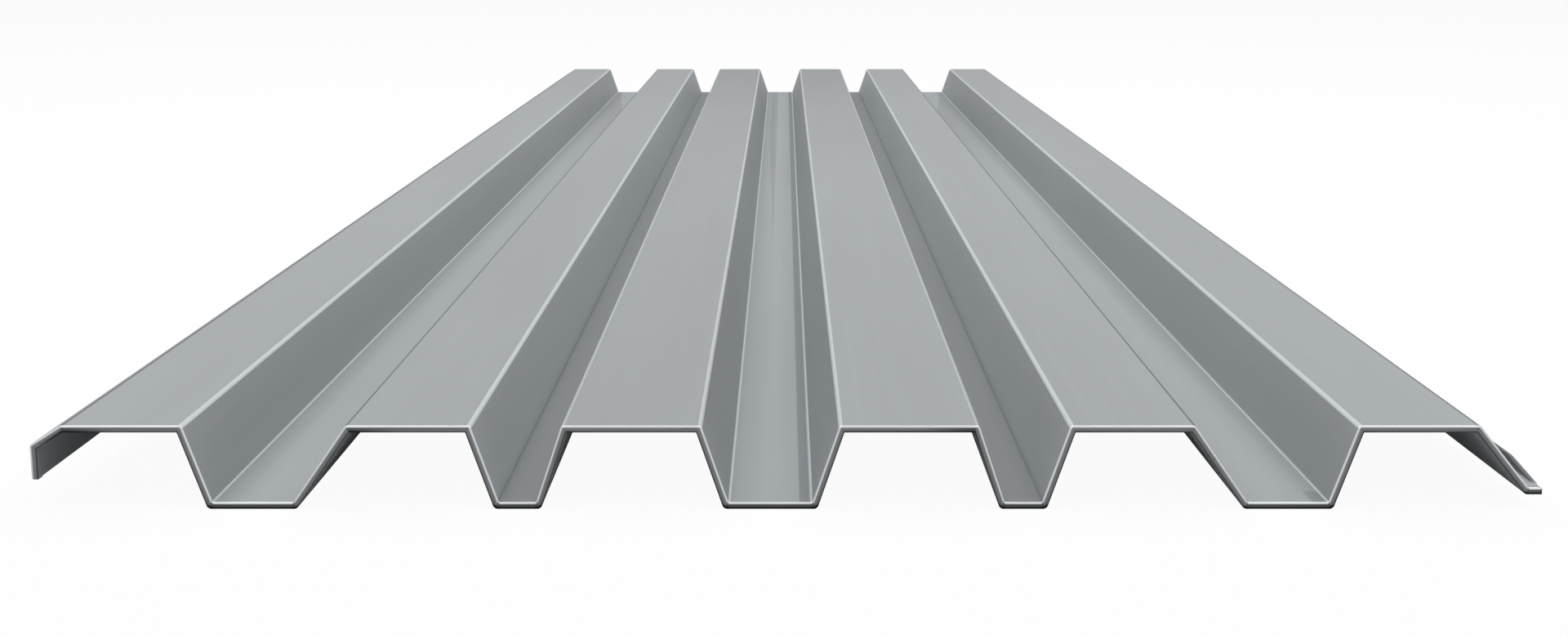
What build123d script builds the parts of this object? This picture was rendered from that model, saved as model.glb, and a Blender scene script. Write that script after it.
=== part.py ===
from build123d import *
import os

# Corrugated metal sheet, roll-formed from one steel plate. Millimetres.
# +Y runs along the waves, +X across them and +Z up. The origin is the middle of
# the footprint, on the floor that the trough undersides lie on.

# Plate
SHEET_LENGTH = 3000.0
PLATE = 4.2
BEND_INSIDE_RADIUS = 0.6
BEND_OUTSIDE_RADIUS = 3.0
END_CHAMFER = 0.8
LIP_CORNER_RADIUS = 1.4

# Waves, measured along the upper face from the middle of the section outwards
WAVE_DEPTH = 47.0
STEEP_RUN = 16.0
SHALLOW_RUN = 33.0
MIDDLE_TROUGH = 50.0
INNER_CREST = 83.0
NARROW_TROUGH = 22.0
OUTER_CREST = 74.0
WIDE_TROUGH = 48.0
EDGE_CREST = 72.0

# Left long edge: a short slope, then a leg that hangs down
HOOK_SLOPE_RUN = 19.0
HOOK_SLOPE_DROP = 12.0
HOOK_LEG = 21.0

# Right long edge: a long slope, a narrow foot and a thin return that stands on it
SEAT_SLOPE_RUN = 31.0
SEAT_SLOPE_DROP = 38.0
SEAT_FOOT = 8.0
RETURN_HEIGHT = 6.5
RETURN_THICKNESS = 2.6
RETURN_SETBACK = 8.0
RETURN_MITRE = 45.0

RETURN_EDGE_RADIUS = 0.4 * RETURN_THICKNESS

# Each step is (distance outwards, change of height) along the upper face.
half_section = [
    (MIDDLE_TROUGH / 2, 0),
    (STEEP_RUN, WAVE_DEPTH),
    (INNER_CREST, 0),
    (STEEP_RUN, -WAVE_DEPTH),
    (NARROW_TROUGH, 0),
    (STEEP_RUN, WAVE_DEPTH),
    (OUTER_CREST, 0),
    (SHALLOW_RUN, -WAVE_DEPTH),
    (WIDE_TROUGH, 0),
    (STEEP_RUN, WAVE_DEPTH),
    (EDGE_CREST, 0),
]
hook_edge = [(HOOK_SLOPE_RUN, -HOOK_SLOPE_DROP), (0, -HOOK_LEG)]
seat_edge = [(SEAT_SLOPE_RUN, -SEAT_SLOPE_DROP), (SEAT_FOOT, 0)]


def outward_points(steps: list) -> list:
    """Corners of the upper face, as (distance from the middle, height)."""
    distance, height = 0.0, PLATE
    points = []
    for run, rise in steps:
        distance += run
        height += rise
        points.append((distance, height))
    return points


def bend(before: tuple, corner: tuple, after: tuple) -> tuple:
    """A bend's two corners, each with its radius: the upper face's, then the lower face's."""
    upper = Vector(*corner)
    arriving = (upper - Vector(*before)).normalized()
    leaving = (Vector(*after) - upper).normalized()
    across = (arriving + leaving).rotate(Axis.Z, -90)
    lower = upper + across * (PLATE / (1 + arriving.dot(leaving)))
    if arriving.cross(leaving).Z < 0:
        return (upper, BEND_OUTSIDE_RADIUS), (lower, BEND_INSIDE_RADIUS)
    return (upper, BEND_INSIDE_RADIUS), (lower, BEND_OUTSIDE_RADIUS)


hook_side = outward_points(half_section + hook_edge)
seat_side = outward_points(half_section + seat_edge)
hook_reach, leg_height = hook_side[-1]
seat_reach, foot_height = seat_side[-1]
half_width = (hook_reach + seat_reach) / 2
middle = half_width - seat_reach
return_face = half_width - RETURN_THICKNESS
return_top = foot_height + RETURN_HEIGHT
end = SHEET_LENGTH / 2
toe = end - RETURN_SETBACK

upper_face = [(middle - distance, height) for distance, height in reversed(hook_side)]
upper_face += [(middle + distance, height) for distance, height in seat_side]
bends = [bend(*three) for three in zip(upper_face, upper_face[1:], upper_face[2:])]
upper_bends, lower_bends = zip(*bends)

# The section's outline, clockwise from the hook's lip, as (corner, radius)
hook_lip = [
    ((PLATE - half_width, leg_height), LIP_CORNER_RADIUS),
    ((-half_width, leg_height), LIP_CORNER_RADIUS),
]
seat_lip = [
    ((return_face, foot_height), 0.0),
    ((return_face, return_top), RETURN_EDGE_RADIUS),
    ((half_width, return_top), RETURN_EDGE_RADIUS),
    ((half_width, foot_height - PLATE), LIP_CORNER_RADIUS),
]
outline = [*hook_lip, *upper_bends, *seat_lip, *reversed(lower_bends)]
corners, radii = zip(*outline)

with BuildPart() as corrugated_sheet:
    with BuildSketch(Plane.XZ):
        with BuildLine():
            FilletPolyline(*corners, radius=radii, close=True)
        make_face()
    extrude(amount=end, both=True)

    # The return is cropped at both ends, so that the foot runs on past it.
    with BuildSketch(Plane.YZ.offset(return_face)):
        with BuildLine():
            Polyline(
                (toe - RETURN_MITRE, return_top),
                (toe, foot_height),
                (end, foot_height),
                (end, return_top),
                close=True,
            )
        make_face()
        mirror(about=Plane.YZ)
    extrude(amount=RETURN_THICKNESS, mode=Mode.SUBTRACT)

    # The sheared ends are dressed all round.
    end_faces = corrugated_sheet.faces().group_by(Axis.Y)
    chamfer([*end_faces[0].edges(), *end_faces[-1].edges()], length=END_CHAMFER)

corrugated_sheet.part.label = "corrugated_sheet"
os.makedirs("parts", exist_ok=True)
export_step(corrugated_sheet.part, "parts/corrugated_sheet.step")
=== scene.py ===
"""Looks of a corrugated metal sheet: one roll-formed steel plate, lying on a pale floor.

The sheet's mesh is made again from the sizes of its section, with smooth bends, rolled-over ends and a
cropped return, and it is dressed in a satin mill finish. Metres; +Y runs along the waves and +Z is up.
"""
import logging
import math
from dataclasses import dataclass
from enum import Enum

import bmesh
import bpy
from mathutils import Euler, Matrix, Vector, geometry


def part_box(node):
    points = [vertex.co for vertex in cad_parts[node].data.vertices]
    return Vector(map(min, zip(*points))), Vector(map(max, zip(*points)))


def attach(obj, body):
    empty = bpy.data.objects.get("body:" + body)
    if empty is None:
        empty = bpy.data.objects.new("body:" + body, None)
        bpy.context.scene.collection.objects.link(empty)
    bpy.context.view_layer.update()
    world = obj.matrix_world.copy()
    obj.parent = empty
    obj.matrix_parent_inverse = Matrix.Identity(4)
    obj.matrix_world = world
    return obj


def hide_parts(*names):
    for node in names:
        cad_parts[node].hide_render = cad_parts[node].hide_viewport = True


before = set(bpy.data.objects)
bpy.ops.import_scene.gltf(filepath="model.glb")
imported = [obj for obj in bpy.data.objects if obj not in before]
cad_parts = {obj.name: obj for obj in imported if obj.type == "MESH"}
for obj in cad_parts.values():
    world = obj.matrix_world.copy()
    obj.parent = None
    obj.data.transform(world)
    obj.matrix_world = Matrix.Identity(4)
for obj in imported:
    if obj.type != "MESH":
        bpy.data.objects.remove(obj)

NODE = "corrugated_sheet"
BODY = "root"
MM = 0.001
TOLERANCE = 0.01 * MM
CUT_TOLERANCE = 0.001 * MM
NOISE_MIDDLE = 0.5
BEND_MARK = "bend_mark"
SHEAR_DEPTH = "shear_depth"
SHEAR_RISE = "shear_rise"
UPPER_DEPTH = 0.1

log = logging.getLogger("corrugated_sheet")


class Turn(Enum):
    """Which way the upper face turns at a bend."""

    DOWN = "down"
    UP = "up"


class Mark(Enum):
    """How a bend of the upper face is painted against the flats beside it: a painted highlight above 0,
    a painted shade line below 0.
    """

    # painted highlights along bends, strongest first
    FULL_HIGHLIGHT = 1.0
    STRONG_HIGHLIGHT = 0.8
    SOFT_HIGHLIGHT = 0.55
    PLAIN = 0.0
    # painted shade lines along bends
    FAINT_SHADE = -0.35
    SHADE_LINE = -1.0


class Signal:
    """A shader socket that can be used in Python expressions."""

    def __init__(self, graph: "Graph", socket: bpy.types.NodeSocket) -> None:
        """Wrap a socket.

        Args:
            graph: the node graph that the socket is in.
            socket: an output socket with one number.
        """
        self.graph = graph
        self.socket = socket

    def math(self, operation: str, *others: "Signal | float") -> "Signal":
        """Add a Math node.

        Args:
            operation: the Math node's operation.
            others: its other inputs.

        Returns:
            The node's output.
        """
        inputs = dict(enumerate((self, *others)))
        return self.graph.node("ShaderNodeMath", {"operation": operation}, inputs)

    def __add__(self, other: "Signal | float") -> "Signal":
        """Sum."""
        return self.math("ADD", other)

    __radd__ = __add__

    def __sub__(self, other: "Signal | float") -> "Signal":
        """Difference."""
        return self.math("SUBTRACT", other)

    def __rsub__(self, other: float) -> "Signal":
        """Difference from a number."""
        return (self * -1.0) + other

    def __mul__(self, other: "Signal | float") -> "Signal":
        """Product."""
        return self.math("MULTIPLY", other)

    __rmul__ = __mul__

    def between(self, low: float, high: float) -> "Signal":
        """A smooth step: 0 below low and 1 above high.

        Args:
            low: where the step starts.
            high: where it ends.

        Returns:
            The step, from 0 to 1.
        """
        settings = {"interpolation_type": "SMOOTHSTEP"}
        inputs = {"Value": self, "From Min": low, "From Max": high}
        return self.graph.node("ShaderNodeMapRange", settings, inputs)


class Graph:
    """A node tree that is built by one method."""

    def __init__(self, tree: bpy.types.NodeTree) -> None:
        """Start from an empty tree.

        Args:
            tree: the material's or the world's node tree.
        """
        self.tree = tree
        tree.nodes.clear()

    def node(
        self,
        kind: str,
        settings: dict | None = None,
        inputs: dict | None = None,
        output: int | str = 0,
    ) -> Signal:
        """Add a node.

        Args:
            kind: the node's type.
            settings: its properties, which are set first. A ramp's stops are given as "stops".
            inputs: values or signals for its sockets, by name or number.
            output: the socket that is returned, by name or number.

        Returns:
            The chosen output, or the first input's socket of a node that has none.
        """
        made = self.tree.nodes.new(kind)
        for name, value in (settings or {}).items():
            if name == "stops":
                self._set_stops(made.color_ramp, value)
            else:
                setattr(made, name, value)
        for name, value in (inputs or {}).items():
            if isinstance(value, Signal):
                self.tree.links.new(value.socket, made.inputs[name])
            else:
                made.inputs[name].default_value = value
        sockets = made.outputs if len(made.outputs) else made.inputs
        return Signal(self, sockets[output])

    @staticmethod
    def _set_stops(ramp: bpy.types.ColorRamp, stops: list) -> None:
        """Give a ramp its stops.

        Args:
            ramp: a new node's ramp, which has two stops.
            stops: (place, colour) pairs, in order.
        """
        while len(ramp.elements) < len(stops):
            ramp.elements.new(1.0)
        for element, (place, colour) in zip(ramp.elements, stops):
            element.position = place
            element.color = (*colour, 1.0)

    def mix(self, factor: Signal | float, dark: object, light: object) -> Signal:
        """Mix two colours.

        Args:
            factor: 0 gives the first colour and 1 the second.
            dark: the first colour, as a signal or four numbers.
            light: the second colour.

        Returns:
            The mixed colour.
        """
        settings = {"data_type": "RGBA", "clamp_factor": True}
        return self.node("ShaderNodeMix", settings, {0: factor, 6: dark, 7: light}, output=2)

    def along(self, axis: str) -> Signal:
        """Object coordinate along one axis.

        Args:
            axis: X, Y or Z.

        Returns:
            The place along that axis, in metres.
        """
        where = self.node("ShaderNodeTexCoord", output="Object")
        return self.node("ShaderNodeSeparateXYZ", {}, {"Vector": where}, output=axis)

    def attribute(self, name: str) -> Signal:
        """A number that the mesh carries.

        Args:
            name: the attribute's name.

        Returns:
            Its value.
        """
        settings = {"attribute_type": "GEOMETRY", "attribute_name": name}
        return self.node("ShaderNodeAttribute", settings, output="Fac")

    def place(self, scale: tuple[float, float, float]) -> Signal:
        """Object coordinates, scaled.

        Args:
            scale: repeats in each metre along X, Y and Z.

        Returns:
            The coordinates.
        """
        where = self.node("ShaderNodeTexCoord", output="Object")
        return self.node("ShaderNodeMapping", {}, {"Vector": where, "Scale": scale})

    def noise(self, scale: tuple[float, float, float], detail: float) -> Signal:
        """Noise on Object coordinates, about 0.5.

        Args:
            scale: repeats in each metre along X, Y and Z.
            detail: how many finer octaves it has.

        Returns:
            The noise, from 0 to 1.
        """
        inputs = {"Vector": self.place(scale), "Scale": 1.0, "Detail": detail, "Roughness": 0.5}
        return self.node("ShaderNodeTexNoise", {"noise_dimensions": "3D"}, inputs, output=0)


@dataclass(frozen=True)
class SatinSteel:
    """Mill-finished steel plate: blue-grey and satin, with painted highlights and painted shade on its
    bends, flats and cut ends, and a darker colour on the return.
    """

    shade: tuple[float, float, float] = (0.380, 0.400, 0.410)
    light: tuple[float, float, float] = (0.410, 0.432, 0.443)
    # painted highlight colour: bright lines along bends, and the lighter walls of the narrow troughs
    painted_highlight: tuple[float, float, float] = (0.64, 0.67, 0.69)
    # painted shade colour: dark lines along bends and shade on the flats
    painted_shade: tuple[float, float, float] = (0.20, 0.21, 0.22)
    # a darker colour for the return's inner face and top
    darker_return: tuple[float, float, float] = (0.14, 0.146, 0.15)
    # cut ends: a painted highlight on the rolled-over top edge, then the cut steel's grey in painted
    # shade, darker towards a painted shade line at the lower edge
    rollover_highlight: tuple[float, float, float] = (0.82, 0.85, 0.87)
    sheared_shaded: tuple[float, float, float] = (0.13, 0.138, 0.145)
    fracture_shaded: tuple[float, float, float] = (0.065, 0.068, 0.071)
    lower_edge_shade: tuple[float, float, float] = (0.012, 0.013, 0.014)
    # the cut ends' bands painted lighter where the plate is steep, as light falls there
    sheared_lit_steep: tuple[float, float, float] = (0.27, 0.28, 0.288)
    fracture_lit_steep: tuple[float, float, float] = (0.19, 0.198, 0.205)
    metallic: float = 0.35
    roughness: float = 0.40
    roughness_spread: float = 0.08
    gloss: float = 0.0
    edge_tint: float = 0.6
    level_bands: tuple[float, ...] = (0.10, 0.33, 0.42, 0.60, 0.74, 0.84)
    upright_bands: tuple[float, ...] = (0.10, 0.30, 0.40, 0.80, 0.90)
    upright_rise: float = 0.5
    cloud_scale: tuple[float, float, float] = (5.0, 1.2, 5.0)
    cloud_detail: float = 3.0
    cloud_levels: tuple[float, float] = (0.25, 0.75)
    cloud_share: float = 0.5
    streak_scale: tuple[float, float, float] = (150.0, 1.5, 150.0)
    streak_detail: float = 3.0
    streak_levels: tuple[float, float] = (0.2, 0.8)
    streak_share: float = 0.35
    streak_height: float = 0.01 * MM
    grain_scale: tuple[float, float, float] = (900.0, 500.0, 900.0)
    grain_detail: float = 1.0
    grain_share: float = 0.15
    grain_height: float = 0.01 * MM

    def material(self, marks: "PaintedTones") -> bpy.types.Material:
        """Build the finish.

        Args:
            marks: the places of painted shade and painted light, and of the darker return.

        Returns:
            A procedural material on Object coordinates and the sheet's own attributes.
        """
        made = bpy.data.materials.new("satin_mill_steel")
        made.use_nodes = True
        graph = Graph(made.node_tree)
        clouds = graph.noise(self.cloud_scale, self.cloud_detail)
        streaks = graph.noise(self.streak_scale, self.streak_detail)
        grain = graph.noise(self.grain_scale, self.grain_detail)
        tone = clouds.between(*self.cloud_levels) * self.cloud_share
        tone = tone + streaks.between(*self.streak_levels) * self.streak_share
        tone = tone + grain * self.grain_share
        colour = graph.mix(tone, (*self.shade, 1.0), (*self.light, 1.0))
        # painted shade on the flats
        colour = graph.mix(marks.mask(graph), colour, (*self.painted_shade, 1.0))
        # a darker colour on the return's inner face and top
        colour = graph.mix(marks.on_return(graph), colour, (*self.darker_return, 1.0))
        # painted light on the walls of the narrow troughs
        colour = graph.mix(marks.narrow_wall_light(graph), colour, (*self.painted_highlight, 1.0))
        # painted highlights and painted shade lines along the bends
        colour = self._bends(graph, colour)
        # painted highlight and painted shade on the cut ends
        colour = self._sheared_ends(graph, colour)
        roughness = (streaks - NOISE_MIDDLE) * self.roughness_spread
        roughness = roughness + (clouds - NOISE_MIDDLE) * self.roughness_spread
        fine = {"Height": grain, "Distance": self.grain_height, "Strength": 1.0}
        relief = {"Height": streaks, "Distance": self.streak_height, "Strength": 1.0}
        relief["Normal"] = graph.node("ShaderNodeBump", {}, fine)
        normal = graph.node("ShaderNodeBump", {}, relief)
        surface = graph.node(
            "ShaderNodeBsdfPrincipled",
            {},
            {
                "Base Color": colour,
                "Metallic": self.metallic,
                "Roughness": roughness + self.roughness,
                "Specular IOR Level": self.gloss,
                "Specular Tint": (self.edge_tint, self.edge_tint, self.edge_tint, 1.0),
                "Normal": normal,
            },
        )
        graph.node("ShaderNodeOutputMaterial", {}, {"Surface": surface})
        return made

    def _bends(self, graph: Graph, flat: Signal) -> Signal:
        """Paint highlights along some bends of the upper face and painted shade lines along others.

        Args:
            graph: the material's graph.
            flat: the colour of the flats.

        Returns:
            The colour with the bends.
        """
        mark = graph.attribute(BEND_MARK)
        # painted highlight where the bend's value is above 0, painted shade line where it is below 0
        colour = graph.mix(mark.between(0.0, 1.0), flat, (*self.painted_highlight, 1.0))
        return graph.mix((mark * -1.0).between(0.0, 1.0), colour, (*self.painted_shade, 1.0))

    def _sheared_ends(self, graph: Graph, face: Signal) -> Signal:
        """Paint the cut ends: a highlight on the rolled-over top edge, the cut steel's grey in painted
        shade that darkens towards a painted shade line at the lower edge, and lighter bands where the
        plate is steep.

        Args:
            graph: the material's graph.
            face: the colour of the rolled faces.

        Returns:
            The colour with the ends.
        """
        # painted highlight, cut steel in painted shade, and a painted shade line; steep spans take
        # lighter, lit copies of the bands
        level = (self.rollover_highlight, self.rollover_highlight, self.fracture_shaded, self.sheared_shaded, self.fracture_shaded, self.lower_edge_shade)
        upright = (self.rollover_highlight, self.rollover_highlight, self.sheared_lit_steep, self.fracture_lit_steep, self.fracture_shaded)
        level_stops = {"stops": list(zip(self.level_bands, level))}
        upright_stops = {"stops": list(zip(self.upright_bands, upright))}
        depth = graph.attribute(SHEAR_DEPTH)
        on_flats = graph.node("ShaderNodeValToRGB", level_stops, {"Fac": depth})
        on_walls = graph.node("ShaderNodeValToRGB", upright_stops, {"Fac": depth})
        sloping = graph.attribute(SHEAR_RISE).between(0.0, self.upright_rise)
        bands = graph.mix(sloping, on_flats, on_walls)
        return graph.mix(depth.between(0.0, UPPER_DEPTH), face, bands)


@dataclass(frozen=True)
class PaintedTones:
    """Painted shade and painted light on the flats, and a darker colour on the return: spans are
    measured outwards from the section's middle.
    """

    middle: float
    floor: float
    crest: float
    inner_crest_end: float
    narrow_trough: tuple[float, float]
    wide_trough: tuple[float, float]
    rim: float
    return_face: tuple[float, float]
    return_span: tuple[float, float]
    narrow_strength: float = 0.5
    narrow_wall_light_strength: float = 0.22
    band: tuple[float, float] = (17.3 * MM, 23.4 * MM)
    band_strength: float = 0.6
    streak_edge: float = -4.2 * MM
    streak_width: float = 11.5 * MM
    streak_start: float = -0.75
    streak_full: float = 0.85
    streak_tip: float = 0.1
    streak_strength: float = 0.3
    rim_width: float = 2.6 * MM
    rim_strength: float = 0.95
    fade_start: float = -0.2
    fade_full: float = 1.3
    crest_fade: float = 0.25
    trough_fade: float = 0.35
    glint_slope: float = 0.082
    glint_start: float = 0.977
    corner_shade: tuple[float, float] = (323.5 * MM, 333.0 * MM)
    corner_shade_end: float = -1.476
    corner_shade_strength: float = 0.4
    softness: float = 0.5 * MM
    crest_fringe: float = 1.0 * MM
    wall_fringe: tuple[float, float] = (1.0 * MM, 3.0 * MM)

    def mask(self, graph: Graph) -> Signal:
        """Where painted shade darkens the flats.

        Args:
            graph: the material's graph.

        Returns:
            0 where nothing is painted, up to 1 where the painted shade is darkest.
        """
        across = graph.along("X") - self.middle
        along = graph.along("Y")
        height = graph.along("Z")
        aside = across.math("ABSOLUTE")
        floors = 1.0 - self._above_floor(height)
        crests = height.between(self.crest - self.crest_fringe, self.crest - self.crest_fringe / 2)
        return self._on_floors(across, aside, along) * floors + self._on_crests(aside, along) * crests

    def on_return(self, graph: Graph) -> Signal:
        """Where the return's inner face and the inner side of its top get a darker colour.

        Args:
            graph: the material's graph.

        Returns:
            0 elsewhere and 1 on them.
        """
        across = graph.along("X") - self.middle
        return self._span(across, *self.return_face) * self._span(graph.along("Z"), *self.return_span)

    def narrow_wall_light(self, graph: Graph) -> Signal:
        """Where painted light brightens the walls of the narrow troughs against their shade.

        Args:
            graph: the material's graph.

        Returns:
            0 elsewhere and the strength of the painted light on those walls.
        """
        aside = (graph.along("X") - self.middle).math("ABSOLUTE")
        height = graph.along("Z")
        near, far = self.wall_fringe
        below_crest = 1.0 - height.between(self.crest - far, self.crest - near)
        start, stop = self.narrow_trough
        wall_run = start - self.inner_crest_end
        walls = self._span(aside, start - wall_run, stop + wall_run)
        return walls * self._above_floor(height) * below_crest * self.narrow_wall_light_strength

    def _above_floor(self, height: Signal) -> Signal:
        """How far a height is clear of the troughs' floors, from 0 on them to 1 on the walls."""
        near, far = self.wall_fringe
        return height.between(self.floor + near, self.floor + far)

    def _on_floors(self, across: Signal, aside: Signal, along: Signal) -> Signal:
        """Painted shade on the troughs' floors.

        Args:
            across: place across the sheet from the section's middle.
            aside: how far that is.
            along: place along the sheet.

        Returns:
            How dark the painted shade on the floors is.
        """
        # painted shade: darker floors in the narrow troughs, and a band beside the middle trough's right
        # wall
        narrow = self._span(aside, *self.narrow_trough) * self.narrow_strength
        band = self._span(across, *self.band) * self.band_strength
        # a dark streak on the middle trough's far half, painted as a reflection
        wedge = along.between(self.streak_start, self.streak_full)
        left = across + wedge * self.streak_width - self.streak_edge
        streak = left.between(0.0, 2 * self.softness) * wedge.between(0.0, self.streak_tip)
        streak = streak * (1.0 - across.between(self.streak_edge, self.streak_edge + self.softness))
        # a painted shade patch in the corner of the right wide trough's floor, at the near end
        near_end = 1.0 - along.between(self.corner_shade_end - 2 * self.softness, self.corner_shade_end)
        corner_shade = self._span(across, *self.corner_shade) * near_end
        # the wide troughs' floors painted darker towards the far end, except a triangle left light as a
        # painted glint
        glint = (along - self.glint_start) * self.glint_slope + self.wide_trough[0] - aside
        fade = along.between(self.fade_start, self.fade_full) * (1.0 - glint.between(0.0, self.softness))
        wide = self._span(aside, *self.wide_trough) * fade * self.trough_fade
        return narrow + band + streak * self.streak_strength + corner_shade * self.corner_shade_strength + wide

    def _on_crests(self, aside: Signal, along: Signal) -> Signal:
        """Painted shade on the crests: a dark line at the outer rim of the edge crests, and inner crests
        darker towards the far end.

        Args:
            aside: distance from the section's middle.
            along: place along the sheet.

        Returns:
            How dull the crests are.
        """
        # a painted shade line along the outer rim, and inner crests painted darker towards the far end
        rim = aside.between(self.rim - self.rim_width, self.rim - self.rim_width / 2) * self.rim_strength
        inner = 1.0 - aside.between(self.inner_crest_end, self.inner_crest_end + self.softness)
        fade = along.between(self.fade_start, self.fade_full) * self.crest_fade
        return rim + inner * fade

    def _span(self, place: Signal, start: float, stop: float) -> Signal:
        """A stretch with soft ends.

        Args:
            place: the distance that is tested.
            start: where the stretch starts.
            stop: where it ends.

        Returns:
            1 inside the stretch and 0 outside.
        """
        opens = place.between(start - self.softness, start + self.softness)
        closes = place.between(stop - self.softness, stop + self.softness)
        return opens * (1.0 - closes)


@dataclass(frozen=True)
class Step:
    """A step outwards along the upper face, and the painted highlight or painted shade line on the bend
    at its end.
    """

    run: float
    rise: float
    mark: Mark = Mark.PLAIN


@dataclass(frozen=True)
class Bend:
    """A bend of the plate, between two flats of its section."""

    upper: Vector
    lower: Vector
    turn: Turn
    angle: float
    mark: Mark

    def setback(self, radius: float) -> float:
        """How far from the corner an arc of a radius starts."""
        return radius * math.tan(self.angle / 2)


@dataclass
class CorrugatedSheet:
    """The sheet: flat crests and troughs between sloping walls, a hook lip and a seat lip."""

    finish: SatinSteel
    plate: float = 4.2 * MM
    bend_inside: float = 0.6 * MM
    bend_outside: float = 3.0 * MM
    steep_run: float = 16.0 * MM
    shallow_run: float = 33.0 * MM
    middle_trough: float = 50.0 * MM
    inner_crest: float = 83.0 * MM
    narrow_trough: float = 22.0 * MM
    outer_crest: float = 74.0 * MM
    wide_trough: float = 48.0 * MM
    edge_crest: float = 72.0 * MM
    hook_slope: tuple[float, float] = (19.0 * MM, -12.0 * MM)
    hook_leg: float = 21.0 * MM
    seat_slope: tuple[float, float] = (31.0 * MM, -38.0 * MM)
    seat_foot: float = 8.0 * MM
    return_height: float = 6.5 * MM
    return_thickness: float = 2.6 * MM
    return_setback: float = 8.0 * MM
    return_mitre: float = 45.0 * MM
    rolled_edge: float = 1.1 * MM
    burred_edge: float = 0.12 * MM
    return_edge: float = 0.6 * MM
    mark_width: float = 1.6 * MM
    mark_share: float = 0.97
    sharp_degrees: float = 60.0
    level_normal: float = 0.9
    end_reach: float = 2.0 * MM
    upper_end_normal: float = 0.35
    lower_end_normal: float = 0.1
    lower_edge_depth: float = 0.95
    bend_segments: int = 8
    edge_segments: int = 4
    stations: int = 24
    flat_weight: int = 100

    def __post_init__(self) -> None:
        """Take the outer sizes from the frame."""
        self.low, self.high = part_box(NODE)
        self.depth = self.high.z - self.low.z - self.plate
        hook = [Step(*self.hook_slope), Step(0.0, -self.hook_leg)]
        seat = [Step(*self.seat_slope), Step(self.seat_foot, 0.0)]
        hook_side = self._outwards(self.half_section(Mark.FULL_HIGHLIGHT) + hook)
        seat_side = self._outwards(self.half_section(Mark.STRONG_HIGHLIGHT) + seat)
        self.middle = self.high.x - seat_side[-1][0].x
        self.line = [(Vector((self.middle - c.x, 0.0, c.z)), mark) for c, mark in reversed(hook_side)]
        self.line += [(Vector((self.middle + c.x, 0.0, c.z)), mark) for c, mark in seat_side]
        self.bends = self._find_bends()

    def half_section(self, floor_mark: Mark) -> list[Step]:
        """Steps from the middle of the section to the end of the outermost crest.

        Args:
            floor_mark: the mark of the first bend, on the middle trough's floor.

        Returns:
            The steps, in order.
        """
        up, down = self.depth, -self.depth
        return [
            Step(self.middle_trough / 2, 0.0, floor_mark),
            Step(self.steep_run, up, Mark.STRONG_HIGHLIGHT),
            Step(self.inner_crest, 0.0, Mark.SOFT_HIGHLIGHT),
            Step(self.steep_run, down),
            Step(self.narrow_trough, 0.0, Mark.FAINT_SHADE),
            Step(self.steep_run, up, Mark.FULL_HIGHLIGHT),
            Step(self.outer_crest, 0.0, Mark.SHADE_LINE),
            Step(self.shallow_run, down),
            Step(self.wide_trough, 0.0, Mark.STRONG_HIGHLIGHT),
            Step(self.steep_run, up, Mark.FULL_HIGHLIGHT),
            Step(self.edge_crest, 0.0, Mark.SHADE_LINE),
        ]

    def _outwards(self, steps: list[Step]) -> list[tuple[Vector, Mark]]:
        """Add up steps from the middle of the section.

        Args:
            steps: the steps, in order.

        Returns:
            Each step's end, as (distance from the middle, 0, height), with its mark.
        """
        place = Vector((0.0, 0.0, self.plate))
        corners = []
        for step in steps:
            place = place + Vector((step.run, 0.0, step.rise))
            corners.append((place, step.mark))
        return corners

    def _find_bends(self) -> list[Bend]:
        """Work out each bend's corner on the lower face, its turn and its angle.

        Returns:
            The bends from the hook lip to the seat lip.
        """
        bends = []
        for (before, _), (corner, mark), (after, _) in zip(self.line, self.line[1:], self.line[2:]):
            arriving = (corner - before).normalized()
            leaving = (after - corner).normalized()
            both = arriving + leaving
            across = Vector((both.z, 0.0, -both.x)) / (1.0 + arriving.dot(leaving))
            turn = Turn.DOWN if arriving.cross(leaving).y > 0 else Turn.UP
            lower = corner + across * self.plate
            bends.append(Bend(corner, lower, turn, arriving.angle(leaving), mark))
        return bends

    def build(self) -> bpy.types.Object:
        """Model and dress the sheet.

        Returns:
            The sheet, riding on the body.
        """
        shape = bmesh.new()
        self._sweep(shape)
        bmesh.ops.solidify(shape, geom=shape.faces, thickness=self.plate)
        self._round_bends(shape)
        self._cut_stations(shape)
        self._raise_return(shape)
        self._round_edges(shape)
        bmesh.ops.recalc_face_normals(shape, faces=shape.faces)
        self._mark_bends(shape)
        self._mark_ends(shape)
        mesh = bpy.data.meshes.new("rolled_sheet")
        shape.to_mesh(mesh)
        shape.free()
        mesh.shade_smooth()
        mesh.materials.append(self.finish.material(self.painted_tones()))
        piece = bpy.data.objects.new("rolled_sheet", mesh)
        bpy.context.scene.collection.objects.link(piece)
        weighted = piece.modifiers.new("even_flats", "WEIGHTED_NORMAL")
        weighted.mode = "FACE_AREA"
        weighted.weight = self.flat_weight
        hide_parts(NODE)
        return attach(piece, BODY)

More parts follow.
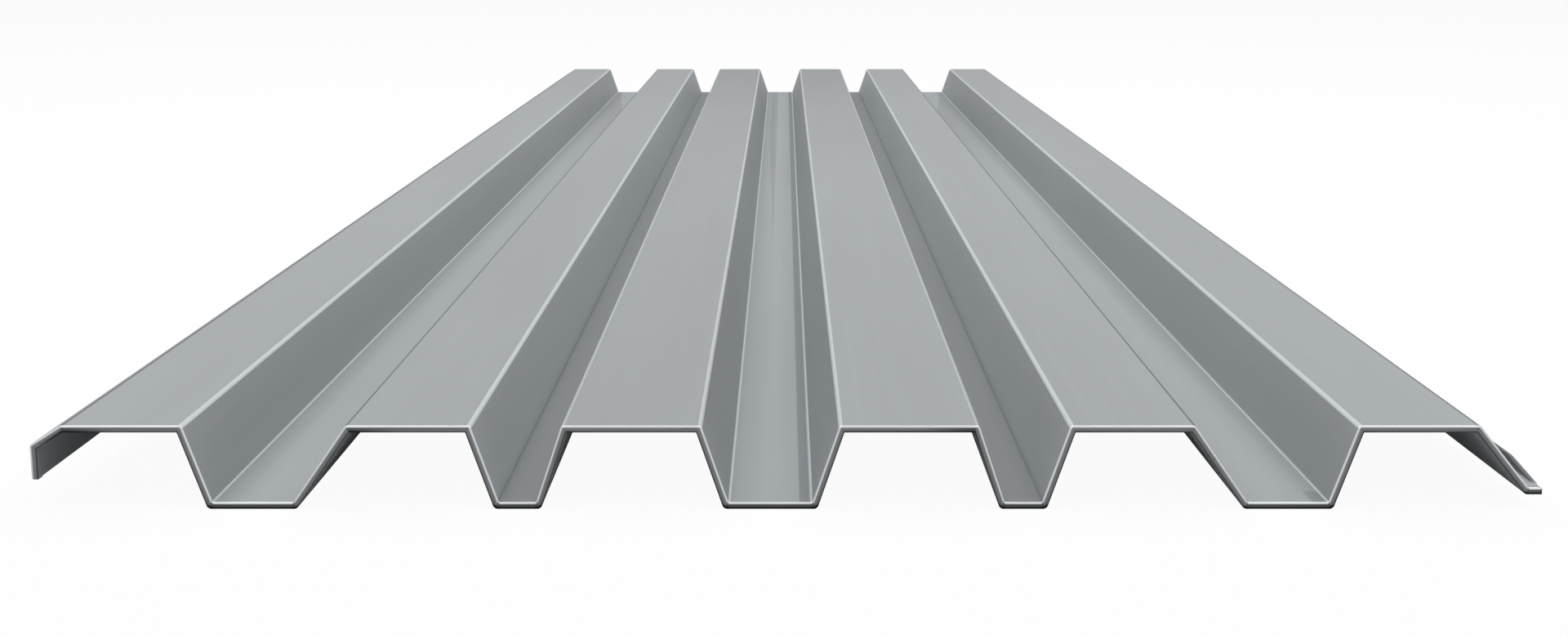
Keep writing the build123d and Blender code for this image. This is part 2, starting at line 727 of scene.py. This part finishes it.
    def painted_tones(self) -> PaintedTones:
        """Place the painted shade, the painted light and the darker return on this section.

        Returns:
            The marks.
        """
        inner_crest_end = self.middle_trough / 2 + self.steep_run + self.inner_crest
        narrow = inner_crest_end + self.steep_run
        outer_crest = narrow + self.narrow_trough + self.steep_run
        wide = outer_crest + self.outer_crest + self.shallow_run
        edge_crest = wide + self.wide_trough + self.steep_run
        foot = self.line[-1][0].z
        outer_face = self.high.x - self.middle
        return PaintedTones(
            middle=self.middle,
            floor=self.plate,
            crest=self.plate + self.depth,
            inner_crest_end=inner_crest_end,
            narrow_trough=(narrow, narrow + self.narrow_trough),
            wide_trough=(wide, wide + self.wide_trough),
            rim=edge_crest + self.edge_crest,
            return_face=(outer_face - self.return_thickness - MM, outer_face - self.return_edge),
            return_span=(foot + self.return_edge / 2, foot + self.return_height + MM),
        )

    def _sweep(self, shape: bmesh.types.BMesh) -> None:
        """Draw the section's upper line at the near end and pull it along the sheet.

        Args:
            shape: the empty mesh.
        """
        points = [self.line[0][0]]
        for bend, (after, _) in zip(self.bends, self.line[2:]):
            if bend.turn is Turn.UP:
                back = (points[-1] - bend.upper).normalized() * self.mark_width
                onward = (after - bend.upper).normalized() * self.mark_width
                points += [bend.upper + back, bend.upper, bend.upper + onward]
            else:
                points.append(bend.upper)
        points.append(self.line[-1][0])
        near = [shape.verts.new((p.x, self.low.y, p.z)) for p in points]
        line = [shape.edges.new(pair) for pair in zip(near, near[1:])]
        pulled = bmesh.ops.extrude_edge_only(shape, edges=line)["geom"]
        moved = [part for part in pulled if isinstance(part, bmesh.types.BMVert)]
        bmesh.ops.translate(shape, verts=moved, vec=(0.0, self.high.y - self.low.y, 0.0))
        bmesh.ops.recalc_face_normals(shape, faces=shape.faces)
        if sum(face.normal.z for face in shape.faces) < 0:
            bmesh.ops.reverse_faces(shape, faces=shape.faces)

    def _round_bends(self, shape: bmesh.types.BMesh) -> None:
        """Give both faces of each bend their radius.

        Args:
            shape: the plate, with sharp bends.
        """
        for bend in self.bends:
            down = bend.turn is Turn.DOWN
            self._round_crease(shape, bend, bend.upper, self.bend_outside if down else self.bend_inside)
            self._round_crease(shape, bend, bend.lower, self.bend_inside if down else self.bend_outside)

    def _round_crease(self, shape: bmesh.types.BMesh, bend: Bend, corner: Vector, radius: float) -> None:
        """Round one face of a bend.

        Args:
            shape: the plate.
            bend: the bend.
            corner: its corner on that face.
            radius: the radius of that face.
        """
        crease = [edge for edge in shape.edges if self._runs_at(edge, corner)]
        self._bevel(shape, crease, bend.setback(radius), self.bend_segments)

    @staticmethod
    def _bevel(shape: bmesh.types.BMesh, edges: list, offset: float, segments: int) -> None:
        """Round some edges.

        Args:
            shape: the mesh.
            edges: the edges.
            offset: how far from the edge the round starts.
            segments: how many faces it has.
        """
        bmesh.ops.bevel(
            shape,
            geom=edges,
            offset=offset,
            offset_type="OFFSET",
            segments=segments,
            profile=0.5,
            affect="EDGES",
            material=-1,
        )

    @staticmethod
    def _runs_at(edge: bmesh.types.BMEdge, corner: Vector) -> bool:
        """Whether an edge runs along the sheet through a corner of the section.

        Args:
            edge: an edge of the swept face.
            corner: the corner.

        Returns:
            True for the edge at that corner.
        """
        return all(math.hypot(v.co.x - corner.x, v.co.z - corner.z) < TOLERANCE for v in edge.verts)

    def _cut_stations(self, shape: bmesh.types.BMesh) -> None:
        """Divide the sheet along its length, and where the return starts and stops.

        Args:
            shape: the thick sheet.
        """
        toe = self.high.y - self.return_setback
        length = self.high.y - self.low.y
        even = [self.low.y + length * i / self.stations for i in range(1, self.stations)]
        for place in (-toe, *even, toe):
            cut = shape.verts[:] + shape.edges[:] + shape.faces[:]
            self._cut(shape, cut, Vector((0.0, place, 0.0)), Vector((0.0, 1.0, 0.0)))
        inner_face = self.high.x - self.return_thickness
        foot = [f for f in shape.faces if f.calc_center_median().x > inner_face - self.seat_foot]
        cut = list({part for f in foot for part in (*f.verts, *f.edges, f)})
        self._cut(shape, cut, Vector((inner_face, 0.0, 0.0)), Vector((1.0, 0.0, 0.0)))

    @staticmethod
    def _cut(shape: bmesh.types.BMesh, parts: list, point: Vector, normal: Vector) -> None:
        """Divide some faces along a plane.

        Args:
            shape: the mesh.
            parts: the faces, with their edges and corners.
            point: a point of the plane.
            normal: the plane's normal.
        """
        bmesh.ops.bisect_plane(shape, geom=parts, dist=CUT_TOLERANCE, plane_co=point, plane_no=normal)

    def _raise_return(self, shape: bmesh.types.BMesh) -> None:
        """Stand the thin return on the foot's outer edge, with its two ends mitred.

        Args:
            shape: the divided sheet.
        """
        inner_face = self.high.x - self.return_thickness
        toe = self.high.y - self.return_setback
        strip = []
        for face in shape.faces:
            centre = face.calc_center_median()
            on_edge = centre.x > inner_face and abs(centre.y) < toe
            if on_edge and face.normal.z > self.level_normal:
                strip.append(face)
        raised = bmesh.ops.extrude_face_region(shape, geom=strip)["geom"]
        bmesh.ops.delete(shape, geom=strip, context="FACES")
        moved = [part for part in raised if isinstance(part, bmesh.types.BMVert)]
        bmesh.ops.translate(shape, verts=moved, vec=(0.0, 0.0, self.return_height))
        for vertex in moved:
            if abs(vertex.co.y) > toe - MM:
                vertex.co.y -= math.copysign(self.return_mitre, vertex.co.y)

    def _round_edges(self, shape: bmesh.types.BMesh) -> None:
        """Roll over the sharp edges of the ends, the lips and the return.

        Args:
            shape: the whole sheet.
        """
        bmesh.ops.recalc_face_normals(shape, faces=shape.faces)
        least = math.radians(self.sharp_degrees)
        sharp = [e for e in shape.edges if e.is_convex and e.calc_face_angle(0.0) > least]
        thin = {e for e in sharp if self._on_return(e)}
        burred = {e for e in sharp if all(self._on_lower_end(v.co) for v in e.verts)}
        rolled = set(sharp) - thin - burred
        rounds = ((burred, self.burred_edge), (rolled, self.rolled_edge), (thin, self.return_edge))
        for edges, radius in rounds:
            ready = [edge for edge in sharp if edge.is_valid and edge in edges]
            self._bevel(shape, ready, radius, self.edge_segments)

    def _on_return(self, edge: bmesh.types.BMEdge) -> bool:
        """Whether an edge is on the return, or goes up to it.

        Args:
            edge: a sharp edge of the sheet.

        Returns:
            True for the return's own edges.
        """
        innermost = min(v.co.x for v in edge.verts)
        highest = max(v.co.z for v in edge.verts)
        halfway_up = self.line[-1][0].z + self.return_height / 2
        return innermost > self.high.x - self.seat_foot and highest > halfway_up

    def _on_lower_end(self, place: Vector) -> bool:
        """Whether a point is on the lower edge of an end face."""
        depth, _ = self._below_upper_face(place)
        return abs(place.y) > self.high.y - TOLERANCE and depth > self.lower_edge_depth * self.plate

    def _mark_bends(self, shape: bmesh.types.BMesh) -> None:
        """Store the painted highlight or painted shade line of each bend of the upper face.

        Args:
            shape: the finished mesh.
        """
        layer = shape.verts.layers.float.new(BEND_MARK)
        for vertex in shape.verts:
            for bend in self.bends:
                outside = bend.turn is Turn.DOWN
                reach = bend.setback(self.bend_outside) if outside else self.mark_width
                aside = math.hypot(vertex.co.x - bend.upper.x, vertex.co.z - bend.upper.z)
                # painted highlight or painted shade line on the vertices of this bend
                if aside < self.mark_share * reach:
                    vertex[layer] = bend.mark.value

    def _mark_ends(self, shape: bmesh.types.BMesh) -> None:
        """Store how deep each corner of the end faces lies, and how steep the plate is there.

        Args:
            shape: the finished mesh.
        """
        depths = shape.loops.layers.float.new(SHEAR_DEPTH)
        rises = shape.loops.layers.float.new(SHEAR_RISE)
        for face in shape.faces:
            centre = face.calc_center_median()
            depth, _ = self._below_upper_face(centre)
            least = self.upper_end_normal if depth < self.plate / 2 else self.lower_end_normal
            if abs(face.normal.y) < least or abs(centre.y) < self.high.y - self.end_reach:
                continue
            for loop in face.loops:
                depth, rise = self._below_upper_face(loop.vert.co)
                loop[depths] = UPPER_DEPTH + (1.0 - UPPER_DEPTH) * min(depth / self.plate, 1.0)
                loop[rises] = rise

    def _below_upper_face(self, place: Vector) -> tuple[float, float]:
        """How deep a point lies below the upper face's line.

        Args:
            place: the point.

        Returns:
            Its depth, and how steep the nearest flat is: 0 where level and 1 where upright.
        """
        flattened = Vector((place.x, 0.0, place.z))
        found = []
        for (start, _), (stop, _) in zip(self.line, self.line[1:]):
            rise = abs(stop.z - start.z) / (stop - start).length
            found.append((self._distance(flattened, start, stop), rise))
        return min(found)

    @staticmethod
    def _distance(place: Vector, start: Vector, stop: Vector) -> float:
        """Distance from a point to a line between two corners.

        Args:
            place: the point.
            start: one corner.
            stop: the other.

        Returns:
            The shortest distance.
        """
        nearest, share = geometry.intersect_point_line(place, start, stop)
        if not 0.0 <= share <= 1.0:
            nearest = start if share < 0.0 else stop
        return (place - nearest).length


@dataclass
class Studio:
    """A plain pale floor and soft light from above."""

    footprint: tuple[float, float]
    floor_size: float = 60.0
    floor_colour: tuple[float, float, float] = (0.9, 0.9, 0.9)
    floor_white: float = 0.95
    shadow_white: float = 0.1
    shadow_edge: float = 0.04
    lamp_distance: float = 3.5
    lamp_size: tuple[float, float] = (2.0, 6.0)
    lamp_power: float = 84.0
    lamp_tilt_degrees: float = 28.0
    horizon: float = 0.15
    zenith: float = 0.2
    zenith_height: float = 0.8

    def build(self) -> bpy.types.Object:
        """Make the floor, the lamps and the world.

        Returns:
            The floor.
        """
        self._light_world()
        self._hang_lamp("left_box", -self.lamp_tilt_degrees)
        self._hang_lamp("right_box", self.lamp_tilt_degrees)
        return self._lay_floor()

    @staticmethod
    def _seen(graph: Graph) -> Signal:
        """Whether a ray shows the background to the camera."""
        return graph.node("ShaderNodeLightPath", output="Is Camera Ray")

    @staticmethod
    def _mirrored(graph: Graph) -> Signal:
        """Whether a ray shows the background in metal or glass."""
        glossy = graph.node("ShaderNodeLightPath", output="Is Glossy Ray")
        return glossy.math("MAXIMUM", graph.node("ShaderNodeLightPath", output="Is Transmission Ray"))

    def _open_floor(self, graph: Graph) -> Signal:
        """Where nothing lies on the floor, so that metal mirrors the shadow under the sheet.

        Args:
            graph: the floor's graph.

        Returns:
            The shadow's own white under the sheet, and 1 beside it.
        """
        half_width, half_length = self.footprint
        beside = graph.along("X").math("ABSOLUTE").between(half_width, half_width + self.shadow_edge)
        beyond = graph.along("Y").math("ABSOLUTE").between(half_length, half_length + self.shadow_edge)
        return beside.math("MAXIMUM", beyond).math("MAXIMUM", self.shadow_white)

    def _light_world(self) -> None:
        """White where it shows, and a soft sky that is dim at the horizon as light."""
        world = bpy.data.worlds.new("studio_sky")
        bpy.context.scene.world = world
        world.use_nodes = True
        graph = Graph(world.node_tree)
        direction = graph.node("ShaderNodeTexCoord", output="Generated")
        height = graph.node("ShaderNodeSeparateXYZ", {}, {"Vector": direction}, output="Z")
        level = height.between(0.0, self.zenith_height) * (self.zenith - self.horizon) + self.horizon
        shown = self._seen(graph).math("MAXIMUM", self._mirrored(graph))
        strength = shown + (1.0 - shown) * level
        white = (1.0, 1.0, 1.0, 1.0)
        sky = graph.node("ShaderNodeBackground", {}, {"Color": white, "Strength": strength})
        graph.node("ShaderNodeOutputWorld", {}, {"Surface": sky})

    def _hang_lamp(self, name: str, tilt_degrees: float) -> None:
        """Hang a long soft box that faces the sheet.

        Args:
            name: the lamp's name.
            tilt_degrees: how far it hangs over to the right of the sheet, seen from the near end.
        """
        lamp = bpy.data.lights.new(name, "AREA")
        lamp.shape = "RECTANGLE"
        lamp.size, lamp.size_y = self.lamp_size
        lamp.energy = self.lamp_power
        tilt = math.radians(tilt_degrees)
        hung = bpy.data.objects.new(name, lamp)
        hung.location = (self.lamp_distance * math.sin(tilt), 0.0, self.lamp_distance * math.cos(tilt))
        hung.rotation_euler = Euler((0.0, tilt, 0.0))
        bpy.context.scene.collection.objects.link(hung)

    def _lay_floor(self) -> bpy.types.Object:
        """Lay the floor, which is near white where it shows and keeps a faint shadow.

        Returns:
            The floor.
        """
        shape = bmesh.new()
        bmesh.ops.create_grid(shape, x_segments=1, y_segments=1, size=self.floor_size / 2)
        mesh = bpy.data.meshes.new("studio_floor")
        shape.to_mesh(mesh)
        shape.free()
        made = bpy.data.materials.new("pale_floor")
        made.use_nodes = True
        graph = Graph(made.node_tree)
        matt = graph.node("ShaderNodeBsdfDiffuse", {}, {"Color": (*self.floor_colour, 1.0)})
        white = graph.node("ShaderNodeEmission", {}, {"Color": (1.0, 1.0, 1.0, 1.0), "Strength": 1.0})
        shown = self._seen(graph).math("MAXIMUM", self._mirrored(graph) * self._open_floor(graph))
        share = shown * self.floor_white
        blend = graph.node("ShaderNodeMixShader", {}, {0: share, 1: matt, 2: white})
        graph.node("ShaderNodeOutputMaterial", {}, {"Surface": blend})
        mesh.materials.append(made)
        floor = bpy.data.objects.new("studio_floor", mesh)
        bpy.context.scene.collection.objects.link(floor)
        return floor


@dataclass
class LowCamera:
    """A camera close to the near end, low over the sheet and square to its length."""

    lens_mm: float = 46.14
    sensor_mm: float = 36.0
    side: float = -1.9 * MM
    distance: float = 1156.0 * MM
    height: float = 290.9 * MM
    tilt_degrees: float = 11.046
    clip: tuple[float, float] = (0.01, 200.0)

    def build(self, low: Vector, high: Vector) -> bpy.types.Object:
        """Place the camera.

        Args:
            low: the sheet's lowest corner.
            high: the sheet's highest corner.

        Returns:
            The scene's camera.
        """
        camera = bpy.data.cameras.new("low_camera")
        camera.lens = self.lens_mm
        camera.sensor_width = self.sensor_mm
        camera.sensor_fit = "HORIZONTAL"
        camera.clip_start, camera.clip_end = self.clip
        placed = bpy.data.objects.new("low_camera", camera)
        placed.location = (self.side, low.y - self.distance, high.z + self.height)
        placed.rotation_euler = Euler((math.radians(90.0 - self.tilt_degrees), 0.0, 0.0))
        bpy.context.scene.collection.objects.link(placed)
        bpy.context.scene.camera = placed
        return placed


def main() -> None:
    """Build the sheet, the studio and the camera, and report each piece."""
    logging.basicConfig(level=logging.INFO, format="%(name)s: %(message)s")
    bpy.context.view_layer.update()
    bpy.context.scene.view_settings.view_transform = "Standard"
    sheet = CorrugatedSheet(finish=SatinSteel())
    piece = sheet.build()
    log.info("%s: %d faces", piece.name, len(piece.data.polygons))
    floor = Studio(footprint=(sheet.high.x, sheet.high.y)).build()
    log.info("%s laid", floor.name)
    camera = LowCamera().build(sheet.low, sheet.high)
    log.info("%s placed", camera.name)


if __name__ == "__main__":
    main()
